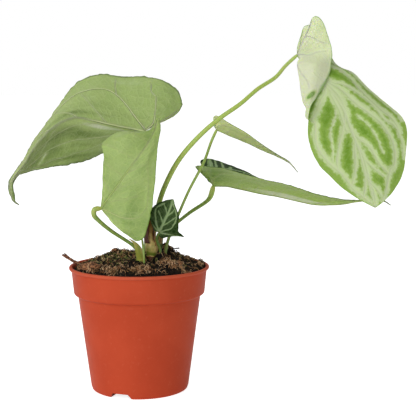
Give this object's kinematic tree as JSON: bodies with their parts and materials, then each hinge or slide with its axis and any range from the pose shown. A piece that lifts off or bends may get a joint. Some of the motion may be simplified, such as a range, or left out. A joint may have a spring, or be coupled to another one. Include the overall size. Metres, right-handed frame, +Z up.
{
  "type": "potted anthurium",
  "caption": "Young potted anthurium with heart-shaped leaves on slender stalks, some folded along the midrib, in a round tapered plastic nursery pot filled with soil.",
  "frame": {"origin": "centre of the pot's flat base, where the pot stands", "axes": "+Z up, -Y the front as in the picture, +X to the right as seen from the front"},
  "size_m": [0.3407, 0.1502, 0.3168],
  "materials": {
    "terracotta_plastic": "thin moulded terracotta-coloured plastic, fine satin",
    "peat_soil": "dark coarse peat with fibres",
    "old_leaf_bases": "green-brown stem wrapped in papery leaf bases",
    "stalk_green": "smooth waxy yellow-green",
    "leaf_green": "matte pale green underside, darker veined upper side",
    "leaf_dark": "velvety dark green with silver veins",
    "leaf_silver": "silver-green with broad pale veins",
    "bark": "rough orange-brown bark"
  },
  "bodies": {
    "root": {"pot": "terracotta_plastic", "soil": "peat_soil", "crown": "old_leaf_bases", "young_shoot": "stalk_green", "stalk_a": "stalk_green", "stalk_b": "stalk_green", "stalk_c": "stalk_green", "stalk_d": "stalk_green", "stalk_e": "stalk_green", "stalk_f": "stalk_green", "leaf_a": "leaf_green", "leaf_b": "leaf_green", "leaf_c": "leaf_dark", "leaf_d": "leaf_silver", "leaf_e": "leaf_green", "leaf_f": "leaf_green", "bark_chip_front": "bark", "bark_chip_mound": "bark", "bark_chip_right": "bark", "bark_chip_back": "bark", "twig": "bark", "small_stick": "bark"}
  },
  "joints": []
}
